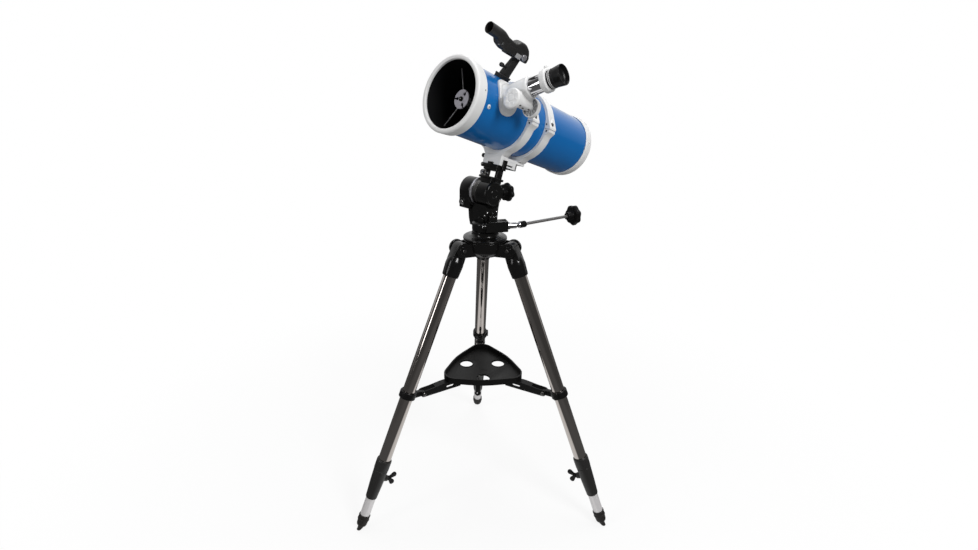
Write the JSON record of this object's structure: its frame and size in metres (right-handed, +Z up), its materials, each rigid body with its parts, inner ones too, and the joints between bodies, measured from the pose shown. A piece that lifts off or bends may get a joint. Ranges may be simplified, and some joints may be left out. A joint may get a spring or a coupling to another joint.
{
  "type": "newtonian reflector telescope",
  "caption": "Short blue reflecting telescope in hinged white rings on a black alt-azimuth head with slow-motion knobs, on a folding steel tripod with an accessory tray.",
  "frame": {"origin": "on the floor, under the middle of the stand's footprint", "axes": "+Z up; -Y towards the side the picture was taken from, +X to its right; the tube points to the left, towards the viewer and up"},
  "size_m": [0.6042, 0.5269, 1.1273],
  "materials": {
    "blue_paint": "glossy blue paint on rolled steel",
    "white_casting": "white paint on a casting",
    "white_plastic": "white moulded plastic",
    "black_casting": "satin black paint on a casting",
    "black_plastic": "matt black moulded plastic",
    "eyepiece_black": "black barrel with a soft cup",
    "black_rubber": "matt black rubber",
    "black_paint": "matt black paint on sheet steel",
    "polished_steel": "polished stainless tube",
    "chrome": "bright chrome",
    "grey_alloy": "pale grey satin alloy",
    "mirror_glass": "front-silvered glass"
  },
  "bodies": {
    "tripod": {"tripod_hub": "black_casting", "mount_base": "black_casting"},
    "leg_left": {"leg_bracket_left": "black_casting", "upper_leg_left": "polished_steel", "lock_sleeve_left": "black_plastic", "brace_collar_left": "black_plastic"},
    "shin_left": {"lower_leg_left": "polished_steel", "foot_left": "black_rubber"},
    "wing_left": {"wing_screw_left": "black_plastic"},
    "brace_left": {"tray_brace_left": "black_plastic"},
    "leg_right": {"leg_bracket_right": "black_casting", "upper_leg_right": "polished_steel", "lock_sleeve_right": "black_plastic", "brace_collar_right": "black_plastic"},
    "shin_right": {"lower_leg_right": "polished_steel", "foot_right": "black_rubber"},
    "wing_right": {"wing_screw_right": "black_plastic"},
    "brace_right": {"tray_brace_right": "black_plastic"},
    "leg_back": {"leg_bracket_back": "black_casting", "upper_leg_back": "polished_steel", "lock_sleeve_back": "black_plastic", "brace_collar_back": "black_plastic"},
    "shin_back": {"lower_leg_back": "polished_steel", "foot_back": "black_rubber"},
    "wing_back": {"wing_screw_back": "black_plastic"},
    "brace_back": {"tray_brace_back": "black_plastic"},
    "tray": {"tray": "black_plastic"},
    "head": {"head_casting": "black_casting", "gear_housing": "black_casting"},
    "altitude_fine": {"altitude_shaft": "chrome", "altitude_knob": "black_plastic"},
    "azimuth_fine": {"rod_coupling": "chrome", "slow_rod": "polished_steel", "azimuth_knob": "black_plastic"},
    "cradle": {"altitude_cradle": "black_casting", "setting_circle": "grey_alloy"},
    "saddle_lock": {"saddle_screw": "chrome"},
    "ota": {"dovetail_bar": "white_casting", "ring_lower_front": "white_casting", "ring_lower_rear": "white_casting", "optical_tube": "blue_paint", "front_ring": "white_plastic", "rear_cell": "white_plastic", "primary_mirror": "mirror_glass", "spider": "black_paint", "spider_cap": "grey_alloy", "secondary_holder": "black_plastic", "secondary_mirror": "mirror_glass", "focuser_body": "white_casting", "finder_bracket": "black_plastic", "finder_body": "black_plastic"},
    "ring_front": {"ring_upper_front": "white_casting"},
    "bolt_front": {"ring_bolt_front": "chrome"},
    "ring_rear": {"ring_upper_rear": "white_casting"},
    "bolt_rear": {"ring_bolt_rear": "chrome"},
    "drawtube": {"drawtube": "chrome", "eyepiece_holder": "white_casting"},
    "pinion": {"focus_pinion": "white_plastic"},
    "eyepiece": {"eyepiece": "eyepiece_black"},
    "finder_dial": {"finder_dial": "grey_alloy"}
  },
  "joints": [
    {"name": "leg_fold_left", "type": "hinge", "parent": "tripod", "child": "leg_left", "pos_m": [-0.05707, -0.11829, 0.666], "axis": [0.5, -0.866, 0], "range_deg": [0, 19.5]},
    {"name": "leg_extend_left", "type": "slide", "parent": "leg_left", "child": "shin_left", "axis": [-0.331, -0.1911, -0.9241], "range_m": [-0.045, 0.3]},
    {"name": "wing_turn_left", "type": "hinge", "parent": "leg_left", "child": "wing_left", "pos_m": [-0.24995, -0.22965, 0.12752], "axis": [0.8003, 0.462, -0.3822], "continuous": true},
    {"name": "brace_swing_left", "type": "hinge", "parent": "leg_left", "child": "brace_left", "pos_m": [-0.14379, -0.16836, 0.32498], "axis": [-0.5, 0.866, 0], "range_deg": [0, 108]},
    {"name": "leg_fold_right", "type": "hinge", "parent": "tripod", "child": "leg_right", "pos_m": [0.05707, -0.11829, 0.666], "axis": [0.5, 0.866, 0], "range_deg": [0, 19.5]},
    {"name": "leg_extend_right", "type": "slide", "parent": "leg_right", "child": "shin_right", "axis": [0.331, -0.1911, -0.9241], "range_m": [-0.045, 0.3]},
    {"name": "wing_turn_right", "type": "hinge", "parent": "leg_right", "child": "wing_right", "pos_m": [0.24995, -0.22965, 0.12752], "axis": [-0.8003, 0.462, -0.3822], "continuous": true},
    {"name": "brace_swing_right", "type": "hinge", "parent": "leg_right", "child": "brace_right", "pos_m": [0.14379, -0.16836, 0.32498], "axis": [-0.5, -0.866, 0], "range_deg": [0, 108]},
    {"name": "leg_fold_back", "type": "hinge", "parent": "tripod", "child": "leg_back", "pos_m": [0, -0.01944, 0.666], "axis": [-1, 0, 0], "range_deg": [0, 19.5]},
    {"name": "leg_extend_back", "type": "slide", "parent": "leg_back", "child": "shin_back", "axis": [0, 0.3822, -0.9241], "range_m": [-0.045, 0.3]},
    {"name": "wing_turn_back", "type": "hinge", "parent": "leg_back", "child": "wing_back", "pos_m": [0, 0.20327, 0.12752], "axis": [0, -0.9241, -0.3822], "continuous": true},
    {"name": "brace_swing_back", "type": "hinge", "parent": "leg_back", "child": "brace_back", "pos_m": [0, 0.0807, 0.32498], "axis": [1, 0, 0], "range_deg": [0, 108]},
    {"name": "tray_remove", "type": "slide", "parent": "tripod", "child": "tray", "axis": [0, -1, 0], "range_m": [0, 0.335]},
    {"name": "azimuth_turn", "type": "hinge", "parent": "tripod", "child": "head", "pos_m": [0, -0.08534, 0.7], "axis": [0, 0, 1], "continuous": true},
    {"name": "altitude_knob_turn", "type": "hinge", "parent": "head", "child": "altitude_fine", "pos_m": [-0.03119, -0.0529, 0.76], "axis": [0.7208, 0.6932, 0], "continuous": true},
    {"name": "azimuth_knob_turn", "type": "hinge", "parent": "head", "child": "azimuth_fine", "pos_m": [0.06988, -0.09945, 0.715], "axis": [0.8492, 0.5281, 0], "continuous": true},
    {"name": "altitude_tilt", "type": "hinge", "parent": "head", "child": "cradle", "pos_m": [0, -0.08534, 0.785], "axis": [-0.6932, 0.7208, 0], "range_deg": [-35, 30]},
    {"name": "saddle_screw_turn", "type": "hinge", "parent": "cradle", "child": "saddle_lock", "pos_m": [0.00801, -0.07764, 0.82613], "axis": [-0.6932, 0.7208, 0], "continuous": true},
    {"name": "tube_slide", "type": "slide", "parent": "cradle", "child": "ota", "axis": [-0.6809, -0.6548, 0.328], "range_m": [-0.02, 0.02]},
    {"name": "ring_open_front", "type": "hinge", "parent": "ota", "child": "ring_front", "pos_m": [-0.01577, 0.01354, 0.93865], "axis": [-0.6809, -0.6548, 0.328], "range_deg": [0, 100]},
    {"name": "ring_open_rear", "type": "hinge", "parent": "ota", "child": "ring_rear", "pos_m": [0.02644, 0.05413, 0.91831], "axis": [-0.6809, -0.6548, 0.328], "range_deg": [0, 100]},
    {"name": "ring_bolt_turn_front", "type": "hinge", "parent": "ring_front", "child": "bolt_front", "pos_m": [0.09493, -0.10158, 0.93865], "axis": [0.2365, 0.2274, 0.9447], "continuous": true},
    {"name": "ring_bolt_turn_rear", "type": "hinge", "parent": "ring_rear", "child": "bolt_rear", "pos_m": [0.13714, -0.06098, 0.91831], "axis": [0.2365, 0.2274, 0.9447], "continuous": true},
    {"name": "focus_slide", "type": "slide", "parent": "ota", "child": "drawtube", "axis": [0.7313, -0.5831, 0.3539], "range_m": [-0.022, 0.03]},
    {"name": "pinion_turn", "type": "hinge", "parent": "ota", "child": "pinion", "pos_m": [0.06319, -0.17328, 0.98115], "axis": [-0.6809, -0.6548, 0.328], "range_deg": [-290, 215]},
    {"name": "eyepiece_pull", "type": "slide", "parent": "drawtube", "child": "eyepiece", "axis": [0.7313, -0.5831, 0.3539], "range_m": [0, 0.045]},
    {"name": "finder_dial_turn", "type": "hinge", "parent": "ota", "child": "finder_dial", "pos_m": [0.06921, -0.09711, 1.06337], "axis": [0.5624, -0.7544, -0.3385], "range_deg": [0, 300]}
  ],
  "couplings": [
    {"joint": "leg_fold_right", "follows": "leg_fold_left", "ratio": 1},
    {"joint": "leg_fold_back", "follows": "leg_fold_left", "ratio": 1},
    {"joint": "brace_swing_left", "follows": "leg_fold_left", "ratio": 5.5},
    {"joint": "brace_swing_right", "follows": "leg_fold_left", "ratio": 5.5},
    {"joint": "brace_swing_back", "follows": "leg_fold_left", "ratio": 5.5},
    {"joint": "tray_remove", "follows": "leg_fold_left", "m_per_rad": 0.97},
    {"joint": "pinion_turn", "follows": "focus_slide", "rad_per_m": -166.67}
  ]
}
